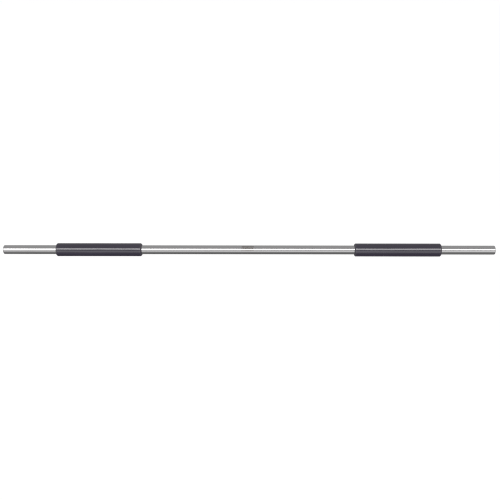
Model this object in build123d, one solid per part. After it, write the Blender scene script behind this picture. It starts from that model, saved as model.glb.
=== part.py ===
from build123d import *
import os

# Length setting standard for large outside micrometers, also called a micrometer setting rod.
# A solid ground steel bar has a flat lapped measuring face at each end, and the distance
# between the two faces is the standard's nominal length. The bar is held by two black
# heat-insulating sleeves, so that the warmth of the hands doesn't lengthen it. The sleeves sit
# round the bar's two Airy points, each held by a thin film of adhesive in its bore.
#
# Frame, in millimetres: the origin is the middle of the bar on its axis, +X runs along the bar,
# +Z is up. Lying on a bench, the standard rests on its two sleeves, at Z = -SLEEVE_DIA / 2.
# Nothing moves: the three kinds of piece are fixed to each other for life.

# Bar
NOMINAL_LENGTH = 525.0      # face to face
BAR_DIA = 9.5
FACE_CHAMFER = 0.6          # 45 degrees, round each measuring face

# Insulating sleeves
SLEEVE_DIA = 14.0
SLEEVE_LENGTH = 92.0
BARE_END = 57.0             # bare bar from a measuring face to the near end of a sleeve
SLEEVE_CHAMFER = 1.2        # 45 degrees, outer edge of each sleeve end
MOUTH_CHAMFER = 0.25        # 45 degrees, edge of the bore at each sleeve end

# Adhesive film between bar and sleeve
FILM_THICKNESS = 0.10
FILM_SETBACK = 2.0          # the film stops this far inside each sleeve end

bar_r = BAR_DIA / 2
bore_r = bar_r + FILM_THICKNESS
sleeve_r = SLEEVE_DIA / 2
sleeve_centre = NOMINAL_LENGTH / 2 - BARE_END - SLEEVE_LENGTH / 2
airy_point = NOMINAL_LENGTH * (0.5 - 0.2113)


def turned(points):
    """A solid of revolution about the X axis from its half section, given as (x, radius) points."""
    face = make_face(Polyline(*[(x, r) for x, r in points], close=True))
    return revolve(face, Axis.X)


def measuring_bar():
    end = NOMINAL_LENGTH / 2
    return turned(
        [
            (-end, 0),
            (-end, bar_r - FACE_CHAMFER),
            (-end + FACE_CHAMFER, bar_r),
            (end - FACE_CHAMFER, bar_r),
            (end, bar_r - FACE_CHAMFER),
            (end, 0),
        ]
    )


def sleeve(centre):
    a, b = centre - SLEEVE_LENGTH / 2, centre + SLEEVE_LENGTH / 2
    return turned(
        [
            (a, bore_r + MOUTH_CHAMFER),
            (a, sleeve_r - SLEEVE_CHAMFER),
            (a + SLEEVE_CHAMFER, sleeve_r),
            (b - SLEEVE_CHAMFER, sleeve_r),
            (b, sleeve_r - SLEEVE_CHAMFER),
            (b, bore_r + MOUTH_CHAMFER),
            (b - MOUTH_CHAMFER, bore_r),
            (a + MOUTH_CHAMFER, bore_r),
        ]
    )


def film(centre):
    half = SLEEVE_LENGTH / 2 - FILM_SETBACK
    return turned(
        [
            (centre - half, bar_r),
            (centre - half, bore_r),
            (centre + half, bore_r),
            (centre + half, bar_r),
        ]
    )


pieces = {
    "measuring_bar": measuring_bar(),
    "sleeve_left": sleeve(-sleeve_centre),
    "sleeve_right": sleeve(sleeve_centre),
    "adhesive_film_left": film(-sleeve_centre),
    "adhesive_film_right": film(sleeve_centre),
}

os.makedirs("parts", exist_ok=True)
for name, shape in pieces.items():
    shape.label = name
    export_step(shape, f"parts/{name}.step")
    print(name, round(shape.volume, 1), "mm3")
print("sleeve centre", sleeve_centre, "Airy point", round(airy_point, 1))
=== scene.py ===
import math

import bmesh
import bpy
from mathutils import Matrix, Vector, noise


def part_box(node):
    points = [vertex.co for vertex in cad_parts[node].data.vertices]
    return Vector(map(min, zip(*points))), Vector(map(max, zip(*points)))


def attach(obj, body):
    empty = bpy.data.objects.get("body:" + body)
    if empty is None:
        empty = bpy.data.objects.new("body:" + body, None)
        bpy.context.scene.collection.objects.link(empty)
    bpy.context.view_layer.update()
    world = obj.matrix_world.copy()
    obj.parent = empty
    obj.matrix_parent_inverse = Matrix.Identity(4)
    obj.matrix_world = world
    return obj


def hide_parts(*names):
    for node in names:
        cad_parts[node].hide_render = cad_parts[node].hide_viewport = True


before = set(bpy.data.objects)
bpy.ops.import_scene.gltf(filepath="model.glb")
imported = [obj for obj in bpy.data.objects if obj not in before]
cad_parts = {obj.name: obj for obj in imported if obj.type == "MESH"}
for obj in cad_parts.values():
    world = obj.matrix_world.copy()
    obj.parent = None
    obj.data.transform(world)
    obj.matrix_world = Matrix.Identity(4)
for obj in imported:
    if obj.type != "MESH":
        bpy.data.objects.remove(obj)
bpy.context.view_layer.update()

MM = 0.001
scene = bpy.context.scene

# ---------------------------------------------------------------- sizes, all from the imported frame
bar_lo, bar_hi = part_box("measuring_bar")
half_bar = bar_hi.x / MM                         # 262.5 mm
sleeve_span = {side: [c.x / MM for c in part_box("sleeve_" + side)] for side in ("left", "right")}
sleeve_lo, sleeve_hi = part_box("sleeve_left")
sleeve_r = round(max(sleeve_hi.z, -sleeve_lo.z) / MM, 2)   # 7 mm
film_lo, film_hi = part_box("adhesive_film_left")
bore_r = round(max(film_hi.z, -film_lo.z) / MM, 2)         # 4.85 mm
bar_r = 4.75
face_chamfer, sleeve_chamfer, mouth_chamfer = 0.6, 1.2, 0.25
floor_z = -sleeve_r * MM


# ---------------------------------------------------------------- mesh helpers
def softened(points, radii, steps=5, support=0.06):
    """An open profile [(x, r)] in mm with its inner corners rounded, and a support point close to each rounding."""
    out = [points[0]]
    for i in range(1, len(points) - 1):
        p, q, s = Vector(points[i - 1]), Vector(points[i]), Vector(points[i + 1])
        rad = radii[i]
        if rad <= 0:
            out.append(tuple(q))
            continue
        a, b = (p - q).normalized(), (s - q).normalized()
        half = a.angle(b) / 2
        cut = rad / math.tan(half)
        centre = q + (a + b).normalized() * (rad / math.sin(half))
        start, end = q + a * cut, q + b * cut
        if (p - start).length > 3 * support:
            out.append(tuple(start + a * support))
        u, v = start - centre, end - centre
        turn = u.angle(v)
        sign = 1 if u.x * v.y - u.y * v.x > 0 else -1
        for k in range(steps + 1):
            t = sign * turn * k / steps
            out.append(
                (
                    centre.x + u.x * math.cos(t) - u.y * math.sin(t),
                    centre.y + u.x * math.sin(t) + u.y * math.cos(t),
                )
            )
        if (s - end).length > 3 * support:
            out.append(tuple(end + b * support))
    out.append(points[-1])
    return out


def rings_between(points, longest):
    """The profile with extra points, so that no run is longer than longest(x) mm."""
    out = [points[0]]
    for a, b in zip(points, points[1:]):
        length = math.dist(a, b)
        n = max(1, math.ceil(length / longest((a[0] + b[0]) / 2) - 1e-9))
        out += [(a[0] + (b[0] - a[0]) * k / n, a[1] + (b[1] - a[1]) * k / n) for k in range(1, n + 1)]
    return out


def lathe(name, profile, segments, closed=False, radius_at=None):
    """Revolves a profile of (x, r) in mm about the X axis. Points on the axis become one vertex. Angle 0 is +Z, turning towards -Y."""
    bm = bmesh.new()
    tag_row = bm.faces.layers.int.new("lathe_row")
    tag_seg = bm.faces.layers.int.new("lathe_segment")
    rows = []
    for x, r in profile:
        if r < 1e-9:
            rows.append([bm.verts.new((x * MM, 0, 0))])
            continue
        row = []
        for k in range(segments):
            a = 2 * math.pi * k / segments
            rr = radius_at(x, r, a) if radius_at else r
            row.append(bm.verts.new((x * MM, -rr * MM * math.sin(a), rr * MM * math.cos(a))))
        rows.append(row)
    pairs = list(zip(range(len(rows)), range(1, len(rows))))
    if closed:
        pairs.append((len(rows) - 1, 0))
    for i, j in pairs:
        a, b = rows[i], rows[j]
        for k in range(segments):
            n = (k + 1) % segments
            if len(a) == 1:
                f = bm.faces.new((a[0], b[k], b[n]))
            elif len(b) == 1:
                f = bm.faces.new((a[k], b[0], a[n]))
            else:
                f = bm.faces.new((a[k], b[k], b[n], a[n]))
            f.smooth = True
            f[tag_row], f[tag_seg] = i, k
    bmesh.ops.recalc_face_normals(bm, faces=bm.faces)
    if bm.calc_volume(signed=True) < 0:
        bmesh.ops.reverse_faces(bm, faces=bm.faces)
    mesh = bpy.data.meshes.new(name)
    bm.to_mesh(mesh)
    bm.free()
    piece = bpy.data.objects.new(name, mesh)
    scene.collection.objects.link(piece)
    return piece


# ---------------------------------------------------------------- node helpers
class Nodes:
    """Small helper for building a node tree."""

    def __init__(self, name):
        self.mat = bpy.data.materials.new(name)
        self.mat.use_nodes = True
        self.tree = self.mat.node_tree
        self.tree.nodes.clear()
        self.out = self.tree.nodes.new("ShaderNodeOutputMaterial")
        self.bsdf = self.tree.nodes.new("ShaderNodeBsdfPrincipled")
        self.link(self.bsdf.outputs[0], self.out.inputs["Surface"])

    def link(self, a, b):
        self.tree.links.new(a, b)

    def add(self, kind, **props):
        n = self.tree.nodes.new(kind)
        for k, v in props.items():
            setattr(n, k, v)
        return n

    def feed(self, socket, value):
        if isinstance(value, bpy.types.NodeSocket):
            self.link(value, socket)
        else:
            socket.default_value = value

    def math(self, op, a, b=0.5, c=0.5, clamp=False):
        n = self.add("ShaderNodeMath", operation=op, use_clamp=clamp)
        for s, v in zip(n.inputs, (a, b, c)):
            self.feed(s, v)
        return n.outputs[0]

    def coords_mm(self):
        """Object coordinates in millimetres."""
        tc = self.add("ShaderNodeTexCoord")
        sc = self.add("ShaderNodeVectorMath", operation="SCALE")
        self.link(tc.outputs["Object"], sc.inputs[0])
        sc.inputs["Scale"].default_value = 1000.0
        return sc.outputs[0]

    def stretched(self, coords, scale):
        n = self.add("ShaderNodeVectorMath", operation="MULTIPLY")
        self.link(coords, n.inputs[0])
        n.inputs[1].default_value = scale
        return n.outputs[0]

    def shifted(self, coords, by):
        n = self.add("ShaderNodeVectorMath", operation="ADD")
        self.link(coords, n.inputs[0])
        n.inputs[1].default_value = by
        return n.outputs[0]

    def noise(self, coords, detail=4.0, rough=0.5, distortion=0.0, scale=1.0):
        n = self.add("ShaderNodeTexNoise")
        self.link(coords, n.inputs["Vector"])
        n.inputs["Scale"].default_value = scale
        n.inputs["Detail"].default_value = detail
        n.inputs["Roughness"].default_value = rough
        n.inputs["Distortion"].default_value = distortion
        return n.outputs["Fac"]

    def remap(self, value, lo, hi, to_lo, to_hi, smooth=False):
        n = self.add("ShaderNodeMapRange", interpolation_type="SMOOTHSTEP" if smooth else "LINEAR")
        self.link(value, n.inputs["Value"])
        for key, v in (("From Min", lo), ("From Max", hi), ("To Min", to_lo), ("To Max", to_hi)):
            n.inputs[key].default_value = v
        return n.outputs["Result"]

    def mix_colour(self, fac, a, b, blend="MIX"):
        n = self.add("ShaderNodeMix", data_type="RGBA", blend_type=blend)
        self.feed(n.inputs[0], fac)
        for s, v in ((n.inputs[6], a), (n.inputs[7], b)):
            if isinstance(v, bpy.types.NodeSocket):
                self.link(v, s)
            else:
                s.default_value = (*v, 1.0)
        return n.outputs[2]

    def separate(self, coords):
        n = self.add("ShaderNodeSeparateXYZ")
        self.link(coords, n.inputs[0])
        return n.outputs

    def combine(self, x, y, z):
        n = self.add("ShaderNodeCombineXYZ")
        for s, v in zip(n.inputs, (x, y, z)):
            self.feed(s, v)
        return n.outputs[0]

    def attribute(self, name):
        n = self.add("ShaderNodeAttribute", attribute_name=name)
        return n.outputs["Fac"]

    def bump(self, height, distance_mm, strength=1.0, normal=None):
        n = self.add("ShaderNodeBump")
        n.inputs["Strength"].default_value = strength
        n.inputs["Distance"].default_value = distance_mm * MM
        self.link(height, n.inputs["Height"])
        if normal is not None:
            self.link(normal, n.inputs["Normal"])
        return n.outputs["Normal"]


# ---------------------------------------------------------------- camera facts used by the etched mark too
CAMERA_ELEVATION = 42.0
CAMERA_TURN = 1.235                          # degrees off square to the bar, its right end nearer
MARK_ELEVATION = CAMERA_ELEVATION + 24.0     # the way the middle of the mark faces, from the front horizon upwards
MARK_LENGTH, MARK_HEIGHT = 13.6, 5.8         # mm along the bar and round it


# ---------------------------------------------------------------- materials
def steel_ground():
    m = Nodes("steel_ground")
    mm = m.coords_mm()
    x, y, z = m.separate(mm)
    # marks of the grinding wheel run round the bar, so they vary fast along it and slowly round it
    fine = m.noise(m.stretched(mm, (14.0, 0.22, 0.22)), detail=4.0, rough=0.60)
    lines = m.noise(m.shifted(m.stretched(mm, (6.0, 0.10, 0.10)), (31.0, 7.0, 3.0)), detail=3.0, rough=0.55)
    passes = m.noise(m.shifted(m.stretched(mm, (0.055, 0.02, 0.02)), (5.0, 11.0, 2.0)), detail=2.0, rough=0.5)
    handled = m.noise(m.shifted(m.stretched(mm, (0.03, 0.12, 0.12)), (2.0, 4.0, 9.0)), detail=2.0, rough=0.5)

    # the etched patch: a frosted area round the mark, with soft edges
    angle = m.math("ARCTAN2", z, m.math("MULTIPLY", y, -1.0))
    off = m.math("ABSOLUTE", m.math("SUBTRACT", angle, math.radians(MARK_ELEVATION)))
    across = m.remap(off, (MARK_HEIGHT / 2 - 0.15) / bar_r, (MARK_HEIGHT / 2 + 0.15) / bar_r, 1.0, 0.0, smooth=True)
    along = m.remap(m.math("ABSOLUTE", x), MARK_LENGTH / 2 - 0.15, MARK_LENGTH / 2 + 0.15, 1.0, 0.0, smooth=True)
    patch = m.math("MULTIPLY", across, along)

    shade = m.math("ADD", m.remap(fine, 0.3, 0.7, -0.028, 0.028), m.remap(lines, 0.3, 0.7, -0.012, 0.012))
    shade = m.math("ADD", shade, m.remap(passes, 0.3, 0.7, -0.012, 0.012))
    tone = m.remap(shade, -0.09, 0.09, 0.0, 1.0)
    colour = m.mix_colour(tone, (0.545, 0.538, 0.545), (0.655, 0.648, 0.650))
    colour = m.mix_colour(m.remap(handled, 0.52, 0.72, 0.0, 0.06), colour, (0.50, 0.475, 0.45))
    frost = m.math("MULTIPLY", patch, 0.34)
    colour = m.mix_colour(frost, colour, (0.40, 0.37, 0.345))
    m.link(colour, m.bsdf.inputs["Base Color"])

    rough = m.math("ADD", m.remap(fine, 0.3, 0.7, 0.085, 0.125), m.remap(passes, 0.3, 0.7, -0.008, 0.008))
    rough = m.math("ADD", rough, m.remap(handled, 0.5, 0.75, 0.0, 0.015))
    rough = m.math("ADD", rough, m.math("MULTIPLY", patch, 0.03))
    m.link(rough, m.bsdf.inputs["Roughness"])
    height = m.math("ADD", m.math("MULTIPLY", fine, 0.6), m.math("MULTIPLY", lines, 0.4))
    m.link(m.bump(height, 0.0007), m.bsdf.inputs["Normal"])
    m.bsdf.inputs["Metallic"].default_value = 1.0
    return m.mat


def steel_lapped():
    """The measuring faces: lapped nearly to a mirror, with very fine marks in all directions."""
    m = Nodes("steel_lapped")
    mm = m.coords_mm()
    a = m.noise(m.stretched(mm, (1.0, 14.0, 2.0)), detail=3.0, rough=0.6)
    b = m.noise(m.shifted(m.stretched(mm, (1.0, 2.5, 13.0)), (3.0, 8.0, 1.0)), detail=3.0, rough=0.6)
    cloud = m.noise(m.stretched(mm, (0.5, 0.5, 0.5)), detail=2.0)
    both = m.math("ADD", m.math("MULTIPLY", a, 0.5), m.math("MULTIPLY", b, 0.5))
    m.link(m.mix_colour(m.remap(both, 0.35, 0.65, 0.0, 1.0), (0.60, 0.60, 0.61), (0.68, 0.675, 0.67)), m.bsdf.inputs["Base Color"])
    m.link(m.math("ADD", m.remap(both, 0.35, 0.65, 0.10, 0.15), m.remap(cloud, 0.3, 0.7, 0.0, 0.03)), m.bsdf.inputs["Roughness"])
    m.link(m.bump(both, 0.0006), m.bsdf.inputs["Normal"])
    m.bsdf.inputs["Metallic"].default_value = 1.0
    return m.mat


def steel_chamfer():
    """The turned chamfers round the faces: a little coarser and darker than the ground bar."""
    m = Nodes("steel_chamfer")
    mm = m.coords_mm()
    rings = m.noise(m.stretched(mm, (16.0, 0.5, 0.5)), detail=3.0, rough=0.6)
    m.link(m.mix_colour(m.remap(rings, 0.3, 0.7, 0.0, 1.0), (0.46, 0.455, 0.46), (0.60, 0.595, 0.59)), m.bsdf.inputs["Base Color"])
    m.link(m.remap(rings, 0.3, 0.7, 0.26, 0.38), m.bsdf.inputs["Roughness"])
    m.link(m.bump(rings, 0.003), m.bsdf.inputs["Normal"])
    m.bsdf.inputs["Metallic"].default_value = 1.0
    return m.mat


def plastic_black():
    m = Nodes("plastic_black")
    mm = m.coords_mm()
    streak = m.noise(m.stretched(mm, (0.035, 2.4, 2.4)), detail=6.0, rough=0.62, distortion=0.15)
    broad = m.noise(m.shifted(m.stretched(mm, (0.02, 0.55, 0.55)), (9.0, 3.0, 5.0)), detail=3.0, rough=0.5)
    peel = m.noise(m.shifted(m.stretched(mm, (0.55, 0.8, 0.8)), (1.0, 6.0, 2.0)), detail=3.0, rough=0.5)
    grain = m.noise(m.stretched(mm, (6.0, 6.0, 6.0)), detail=3.0, rough=0.6)
    wear = m.attribute("edge_wear")

    colour = m.mix_colour(m.remap(broad, 0.3, 0.7, 0.0, 1.0), (0.0100, 0.0050, 0.0200), (0.0170, 0.0105, 0.0300))
    colour = m.mix_colour(m.remap(grain, 0.55, 0.75, 0.0, 0.35), colour, (0.029, 0.023, 0.042))
    rubbed = m.math("MULTIPLY", wear, m.remap(peel, 0.35, 0.65, 0.25, 1.0))
    colour = m.mix_colour(m.math("MULTIPLY", rubbed, 0.55), colour, (0.085, 0.080, 0.085))
    m.link(colour, m.bsdf.inputs["Base Color"])

    rough = m.math("ADD", m.remap(streak, 0.3, 0.7, 0.09, 0.19), m.remap(broad, 0.3, 0.7, -0.02, 0.03))
    rough = m.math("ADD", rough, m.math("MULTIPLY", rubbed, 0.12))
    m.link(rough, m.bsdf.inputs["Roughness"])
    first = m.bump(streak, 0.010)
    second = m.bump(peel, 0.012, normal=first)
    m.link(second, m.bsdf.inputs["Normal"])
    m.bsdf.inputs["IOR"].default_value = 1.92
    return m.mat


def adhesive():
    m = Nodes("adhesive_epoxy")
    mm = m.coords_mm()
    cloud = m.noise(m.stretched(mm, (0.8, 0.8, 0.8)), detail=3.0)
    m.link(m.mix_colour(m.remap(cloud, 0.3, 0.7, 0.0, 1.0), (0.36, 0.28, 0.15), (0.50, 0.41, 0.24)), m.bsdf.inputs["Base Color"])
    m.link(m.remap(cloud, 0.3, 0.7, 0.25, 0.45), m.bsdf.inputs["Roughness"])
    return m.mat


def etched():
    """Acid-etched figures: dark, matt and slightly granular."""
    m = Nodes("etched_grey")
    mm = m.coords_mm()
    grain = m.noise(m.stretched(mm, (22.0, 22.0, 22.0)), detail=3.0, rough=0.65)
    m.link(m.mix_colour(m.remap(grain, 0.3, 0.7, 0.0, 1.0), (0.085, 0.070, 0.060), (0.18, 0.155, 0.135)), m.bsdf.inputs["Base Color"])
    m.link(m.remap(grain, 0.3, 0.7, 0.55, 0.75), m.bsdf.inputs["Roughness"])
    m.link(m.bump(grain, 0.004), m.bsdf.inputs["Normal"])
    m.bsdf.inputs["Metallic"].default_value = 0.35
    return m.mat


mat_ground, mat_lapped, mat_chamfer = steel_ground(), steel_lapped(), steel_chamfer()
mat_plastic, mat_adhesive, mat_etched = plastic_black(), adhesive(), etched()


# ---------------------------------------------------------------- UV maps for the baked export
def set_uv(piece, place):
    """place(row, corner position, angle) -> (u, v) in mm of map, for a lathe piece; the map is a square of side map_side."""
    mesh = piece.data
    layer = mesh.uv_layers.new(name="OFBake")
    rows = mesh.attributes["lathe_row"].data
    segs = mesh.attributes["lathe_segment"].data
    for poly in mesh.polygons:
        row, seg = rows[poly.index].value, segs[poly.index].value
        for li in poly.loop_indices:
            co = mesh.vertices[mesh.loops[li].vertex_index].co
            layer.uv[li].vector = place(row, seg, co)


def around(co, seg, segments):
    """How far round the piece a corner is, from 0 to 1, without wrapping inside one face."""
    a = math.atan2(-co.y, co.z) / (2 * math.pi) % 1.0
    mid = (seg + 0.5) / segments
    if a - mid > 0.5:
        a -= 1.0
    elif mid - a > 0.5:
        a += 1.0
    return a


# ---------------------------------------------------------------- the bar
BAR_SEGMENTS = 256
visible = (sleeve_span["left"][0], sleeve_span["left"][1], sleeve_span["right"][0], sleeve_span["right"][1])
profile = [
    (-half_bar, 0.0),
    (-half_bar, bar_r - face_chamfer),
    (-half_bar + face_chamfer, bar_r),
    (visible[0] + 1.0, bar_r),
    (visible[1] - 1.0, bar_r),
    (0.0, bar_r),
    (visible[2] + 1.0, bar_r),
    (visible[3] - 1.0, bar_r),
    (half_bar - face_chamfer, bar_r),
    (half_bar, bar_r - face_chamfer),
    (half_bar, 0.0),
]
soft = [0, 0.035, 0.06, 0, 0, 0, 0, 0, 0.06, 0.035, 0]
profile = softened(profile, soft)
profile = rings_between(profile, lambda x: 1.6 if abs(abs(x) - half_bar) < 1e-6 else 12.0)
bar = lathe("measuring_bar_visual", profile, BAR_SEGMENTS)
bar_profile = profile
for mat in (mat_ground, mat_lapped, mat_chamfer):
    bar.data.materials.append(mat)
for poly in bar.data.polygons:
    n = poly.normal
    if abs(n.x) > 0.95:
        poly.material_index = 1
    elif abs(n.x) > 0.2:
        poly.material_index = 2

round_bar = 2 * math.pi * bar_r
MAP = 118.0
bands = [  # x from, x to, u, v, scale along, scale round
    (visible[1] - 1.0, 0.0, 1.0, 1.0, 1.0, 1.0),
    (0.0, visible[2] + 1.0, 1.0, 2.0 + round_bar, 1.0, 1.0),
    (-half_bar, visible[0] + 1.0, 1.0, 3.0 + 2 * round_bar, 1.0, 1.0),
    (visible[3] - 1.0, half_bar, 59.4, 3.0 + 2 * round_bar, 1.0, 1.0),
    (visible[0] + 1.0, visible[1] - 1.0, 1.0, 5.0 + 3 * round_bar, 0.42, 0.5),
    (visible[2] + 1.0, visible[3] - 1.0, 41.0, 5.0 + 3 * round_bar, 0.42, 0.5),
]


def bar_place(row, seg, co):
    x0, x1 = bar_profile[row][0], bar_profile[min(row + 1, len(bar_profile) - 1)][0]
    mid = (x0 + x1) / 2
    if abs(abs(mid) - half_bar) < 0.015:  # the measuring faces, drawn larger
        cu, cv = (88.0, 102.5) if mid < 0 else (103.5, 102.5)
        return ((cu + co.y / MM * 1.5) / MAP, (cv + co.z / MM * 1.5) / MAP)
    x = co.x / MM
    for a, b, u, v, su, sv in bands:
        if a - 1e-6 <= mid <= b + 1e-6:
            return ((u + (x - a) * su) / MAP, (v + around(co, seg, BAR_SEGMENTS) * round_bar * sv) / MAP)
    raise ValueError(f"no place on the map for x {mid}")


set_uv(bar, bar_place)
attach(bar, "root")
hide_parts("measuring_bar")


# ---------------------------------------------------------------- the sleeves
SLEEVE_SEGMENTS = 192


def sleeve_piece(side, seed):
    a, b = sleeve_span[side]
    c, mc = sleeve_chamfer, mouth_chamfer
    inner, outer = bore_r, sleeve_r
    loop = [
        (a + 8.0, outer),
        (b - c, outer),
        (b, outer - c),
        (b, inner + mc),
        (b - mc, inner),
        (a + mc, inner),
        (a, inner + mc),
        (a, outer - c),
        (a + c, outer),
        (a + 8.0, outer),
    ]
    soft = [0, 0.12, 0.12, 0.04, 0.04, 0.04, 0.04, 0.12, 0.12, 0]
    loop = softened(loop, soft)[:-1]
    outer_run = lambda x: 1.0
    dense = []
    closed = loop + [loop[0]]
    for p, q in zip(closed, closed[1:]):
        run = math.dist(p, q)
        on_outside = p[1] > outer - 1e-6 and q[1] > outer - 1e-6
        n = max(1, math.ceil(run / (1.0 if on_outside else 6.0) - 1e-9))
        dense += [(p[0] + (q[0] - p[0]) * k / n, p[1] + (q[1] - p[1]) * k / n) for k in range(n)]
    middle = (a + b) / 2

    def radius_at(x, r, angle):
        """Hand polishing leaves the outside a few hundredths of a millimetre out of true, in long shallow facets."""
        if r < outer - c - 0.01:
            return r
        fade = min(1.0, max(0.0, (r - (outer - c)) / c))
        long_wave = noise.noise(Vector(((x - middle) * 0.045 + seed, 1.6 * math.sin(angle), 1.6 * math.cos(angle))))
        ripple = noise.noise(Vector(((x - middle) * 0.11 + 3 * seed, 4.5 * math.sin(angle), 4.5 * math.cos(angle))))
        return r - fade * (0.030 * (1 + long_wave) + 0.006 * (1 + ripple))

    name = f"sleeve_{side}_visual"
    piece = lathe(name, dense, SLEEVE_SEGMENTS, closed=True, radius_at=radius_at)
    piece.data.materials.append(mat_plastic)

    mesh = piece.data
    worn = mesh.attributes.new("edge_wear", "FLOAT", "POINT")
    values = []
    for v in mesh.vertices:
        x, r = v.co.x / MM, math.hypot(v.co.y, v.co.z) / MM
        near = min(
            math.hypot(x - (a + c), r - outer), math.hypot(x - (b - c), r - outer),
            math.hypot(x - a, r - (outer - c)), math.hypot(x - b, r - (outer - c)),
        )
        values.append(math.exp(-near / 0.22))
    worn.data.foreach_set("value", values)

    round_out = 2 * math.pi * outer
    side_mm = 101.0

    def place(row, seg, co):
        p, q = dense[row], dense[(row + 1) % len(dense)]
        x, r = co.x / MM, math.hypot(co.y, co.z) / MM
        turn = around(co, seg, SLEEVE_SEGMENTS)
        mid_x, mid_r = (p[0] + q[0]) / 2, (p[1] + q[1]) / 2
        if mid_r > outer - c + 0.02:   # outside and outer chamfers, in two halves of the length
            left = mid_x < middle
            u = 2.0 + (x - (a if left else middle)) * 2.0
            v = 1.0 + (0.0 if left else round_out + 1.5) + turn * round_out
            return (u / side_mm, v / side_mm)
        if abs(mid_x - a) < mc + 0.05 or abs(mid_x - b) < mc + 0.05:   # end rings and mouths
            first = mid_x < middle
            u = 2.0 + turn * 45.0 + (0.0 if first else 48.0)
            depth = abs(x - (a if first else b)) + (outer - c - r)
            return (u / side_mm, (92.0 + depth * 1.5) / side_mm)
        u = 2.0 + (x - a)
        return (u / side_mm, (95.5 + turn * 4.5) / side_mm)

    set_uv(piece, place)
    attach(piece, "root")
    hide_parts(f"sleeve_{side}")
    return piece


sleeve_piece("left", 1.7)
sleeve_piece("right", 9.3)


# ---------------------------------------------------------------- the etched size
def stroke(bm, points, width, low, high):
    """A flat closed ribbon with round ends along points (u, v in mm), wrapped on the bar."""
    pts = [Vector(p) for p in points]
    dense = [pts[0]]
    for p, q in zip(pts, pts[1:]):
        n = max(1, math.ceil((q - p).length / 0.12))
        dense += [p.lerp(q, k / n) for k in range(1, n + 1)]
    h = width / 2
    left, right = [], []
    for i, p in enumerate(dense):
        before, after = dense[max(i - 1, 0)], dense[min(i + 1, len(dense) - 1)]
        d1 = (p - before).normalized() if i else (after - p).normalized()
        d2 = (after - p).normalized() if i < len(dense) - 1 else d1
        d = (d1 + d2).normalized()
        n = Vector((-d.y, d.x))
        reach = h / max(0.5, n.dot(Vector((-d1.y, d1.x))))
        left.append(p + n * reach)
        right.append(p - n * reach)
    cap = 5
    start_dir = (dense[1] - dense[0]).normalized()
    end_dir = (dense[-1] - dense[-2]).normalized()

    def arc(centre, heading):
        base = math.atan2(heading.y, heading.x)
        return [
            centre + Vector((math.cos(base + t), math.sin(base + t))) * h
            for t in (math.pi / 2 - math.pi * k / (cap + 1) for k in range(1, cap + 1))
        ]

    end_cap = arc(dense[-1], end_dir)                 # from the left side round to the right
    start_cap = arc(dense[0], -start_dir)             # from the right side round to the left

    def wrap(p, r):
        a = math.radians(MARK_ELEVATION) + p.y / bar_r
        return Vector((p.x * MM, -r * MM * math.cos(a), r * MM * math.sin(a)))

    tops = [[bm.verts.new(wrap(p, high)) for p in run] for run in (left, right, end_cap, start_cap)]
    lows = [[bm.verts.new(wrap(p, low)) for p in run] for run in (left, right, end_cap, start_cap)]

    def skin(sets, flip):
        l, r, e, s = sets
        for i in range(len(l) - 1):
            f = (l[i], r[i], r[i + 1], l[i + 1])
            bm.faces.new(f[::-1] if flip else f)
        f = (l[-1], r[-1], *reversed(e))
        bm.faces.new(f[::-1] if flip else f)
        f = (r[0], l[0], *reversed(s))
        bm.faces.new(f[::-1] if flip else f)

    skin(tops, False)
    skin(lows, True)

    def rim(sets):
        l, r, e, s = sets
        return [*l, *e, *reversed(r), *s]

    t, b = rim(tops), rim(lows)
    for i in range(len(t)):
        j = (i + 1) % len(t)
        bm.faces.new((t[i], t[j], b[j], b[i]))


def arc_points(cx, cy, rx, ry, a0, a1, n=16):
    return [
        (cx + rx * math.cos(math.radians(a0 + (a1 - a0) * k / n)), cy + ry * math.sin(math.radians(a0 + (a1 - a0) * k / n)))
        for k in range(n + 1)
    ]


def figures():
    """Strokes of the generic mark, in mm: the nominal size between two plain rules."""
    out = []
    h = 2.5            # figure height
    w = 1.5
    base = -h / 2

    def five(x):
        return [(x + w, base + h), (x + 0.14, base + h), (x + 0.02, base + h * 0.56)] + arc_points(
            x + w * 0.45, base + h * 0.32, w * 0.55, h * 0.32, 125, -145, 22
        )

    def two(x):
        return arc_points(x + w * 0.5, base + h * 0.70, w * 0.48, h * 0.30, 165, -35, 16) + [
            (x + 0.02, base), (x + w, base)
        ]

    gap, s, letter = w + 0.75, 0.78, 0.85
    x = -(3 * gap - 0.1 + 2 * (2 * s) + letter) / 2
    out += [five(x), two(x + gap), five(x + 2 * gap)]
    x += 3 * gap - 0.1
    for _ in range(2):     # mm
        top = base + h * 0.62
        out.append([(x, base), (x, top)])
        out.append([(x, top - 0.42)] + arc_points(x + s / 2, top - 0.45, s / 2, 0.45, 170, 0, 8) + [(x + s, base)])
        out.append([(x + s, top - 0.42)] + arc_points(x + 1.5 * s, top - 0.45, s / 2, 0.45, 170, 0, 8) + [(x + 2 * s, base)])
        x += 2 * s + letter
    out.append([(-6.3, 2.25), (6.3, 2.25)])
    out.append([(-6.3, -2.25), (6.3, -2.25)])
    return out


bm = bmesh.new()
for line in figures():
    rule = len(line) == 2 and line[1][0] - line[0][0] > 10
    stroke(bm, line, 0.46 if rule else 0.38, bar_r - 0.03, bar_r + 0.012)
bmesh.ops.recalc_face_normals(bm, faces=bm.faces)
mesh = bpy.data.meshes.new("etched_size_mark")
bm.to_mesh(mesh)
bm.free()
mark = bpy.data.objects.new("etched_size_mark", mesh)
scene.collection.objects.link(mark)
mark.data.materials.append(mat_etched)
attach(mark, "root")

for side in ("left", "right"):
    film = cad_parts["adhesive_film_" + side]
    film.data.materials.clear()
    film.data.materials.append(mat_adhesive)


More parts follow.
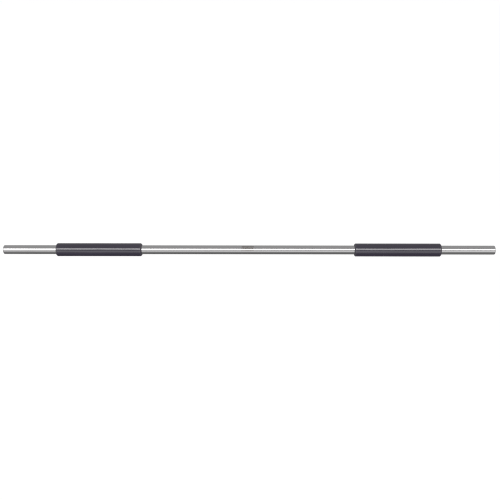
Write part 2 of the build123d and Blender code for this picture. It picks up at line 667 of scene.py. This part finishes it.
# ---------------------------------------------------------------- floor
FLOOR_GLOW = 0.94
bm = bmesh.new()
bmesh.ops.create_grid(bm, x_segments=1, y_segments=1, size=6.0)
mesh = bpy.data.meshes.new("studio_floor")
bm.to_mesh(mesh)
bm.free()
floor = bpy.data.objects.new("studio_floor", mesh)
floor.location.z = floor_z
scene.collection.objects.link(floor)
m = Nodes("floor_white")
m.bsdf.inputs["Base Color"].default_value = (0.10, 0.10, 0.10, 1)
m.bsdf.inputs["Roughness"].default_value = 0.9
m.bsdf.inputs["Specular IOR Level"].default_value = 0.0
m.bsdf.inputs["Emission Color"].default_value = (1, 1, 1, 1)
m.bsdf.inputs["Emission Strength"].default_value = FLOOR_GLOW
floor.data.materials.append(m.mat)
floor.visible_glossy = False


# ---------------------------------------------------------------- light
def softbox(name, elevation, width, height, distance, radiance):
    """A plain white softbox with its long side along the bar, aimed at the bar's middle."""
    data = bpy.data.lights.new(name, "AREA")
    data.shape = "RECTANGLE"
    data.size, data.size_y = width, height
    data.energy = radiance * math.pi * width * height
    lamp = bpy.data.objects.new(name, data)
    scene.collection.objects.link(lamp)
    e = math.radians(elevation)
    back = Vector((0, -math.cos(e), math.sin(e)))
    right = Vector((1, 0, 0))
    pose = Matrix((right, back.cross(right), back)).transposed()
    lamp.matrix_world = Matrix.Translation(back * distance) @ pose.to_4x4()
    lamp.visible_camera = False


def room():
    """A plain grey room, darker below the horizon. The camera sees white past the floor."""
    world = bpy.data.worlds.new("studio")
    scene.world = world
    world.use_nodes = True
    t = world.node_tree
    t.nodes.clear()
    new, link = t.nodes.new, t.links.new
    out = new("ShaderNodeOutputWorld")
    tc = new("ShaderNodeTexCoord")
    sep = new("ShaderNodeSeparateXYZ")
    link(tc.outputs["Generated"], sep.inputs[0])
    level = new("ShaderNodeMapRange")
    level.interpolation_type = "SMOOTHSTEP"
    for key, v in (("From Min", -0.9), ("From Max", 0.0), ("To Min", 0.2), ("To Max", 0.45)):
        level.inputs[key].default_value = v
    link(sep.outputs["Z"], level.inputs["Value"])
    lit = new("ShaderNodeBackground")
    lit.inputs["Color"].default_value = (1, 1, 1, 1)
    link(level.outputs["Result"], lit.inputs["Strength"])
    seen = new("ShaderNodeBackground")
    seen.inputs["Color"].default_value = (1, 1, 1, 1)
    seen.inputs["Strength"].default_value = 1.0
    path = new("ShaderNodeLightPath")
    choose = new("ShaderNodeMixShader")
    link(path.outputs["Is Camera Ray"], choose.inputs[0])
    link(lit.outputs[0], choose.inputs[1])
    link(seen.outputs[0], choose.inputs[2])
    link(choose.outputs[0], out.inputs["Surface"])


room()
softbox("key", 54, 3.0, 0.6, 1.5, 3.0)      # in front and above
softbox("fill", 10, 3.0, 0.9, 1.6, 0.5)     # low in front

scene.view_settings.view_transform = "Standard"
scene.view_settings.look = "None"
scene.view_settings.exposure = 0.0
scene.view_settings.gamma = 1.0
scene.cycles.filter_width = 1.1


# ---------------------------------------------------------------- camera
def camera():
    distance = 0.870
    mm_per_px = 1.0704           # at the middle of the bar's axis
    data = bpy.data.cameras.new("camera")
    data.sensor_width = 36.0
    data.lens = 18.0 * distance / (250 * mm_per_px * MM)
    cam = bpy.data.objects.new("camera", data)
    scene.collection.objects.link(cam)
    e, turned = math.radians(CAMERA_ELEVATION), math.radians(CAMERA_TURN)
    back = Vector((math.sin(turned), -math.cos(turned) * math.cos(e), math.cos(turned) * math.sin(e)))
    # the picture's horizontal follows the bar, which lies 0.069 degrees lower on its right
    right = (Vector((1, 0, 0)) - back * back.x).normalized()
    up = back.cross(right)
    tilt = math.radians(0.069)
    right, up = right * math.cos(tilt) + up * math.sin(tilt), up * math.cos(tilt) - right * math.sin(tilt)
    # the bar's middle lies a little left of and above the picture's
    target = right * (2.15 * mm_per_px * MM) - up * (0.16 * mm_per_px * MM)
    pose = Matrix((right, up, back)).transposed()
    cam.matrix_world = Matrix.Translation(target + back * distance) @ pose.to_4x4()
    data.clip_start, data.clip_end = 0.01, 50.0
    scene.camera = cam


camera()
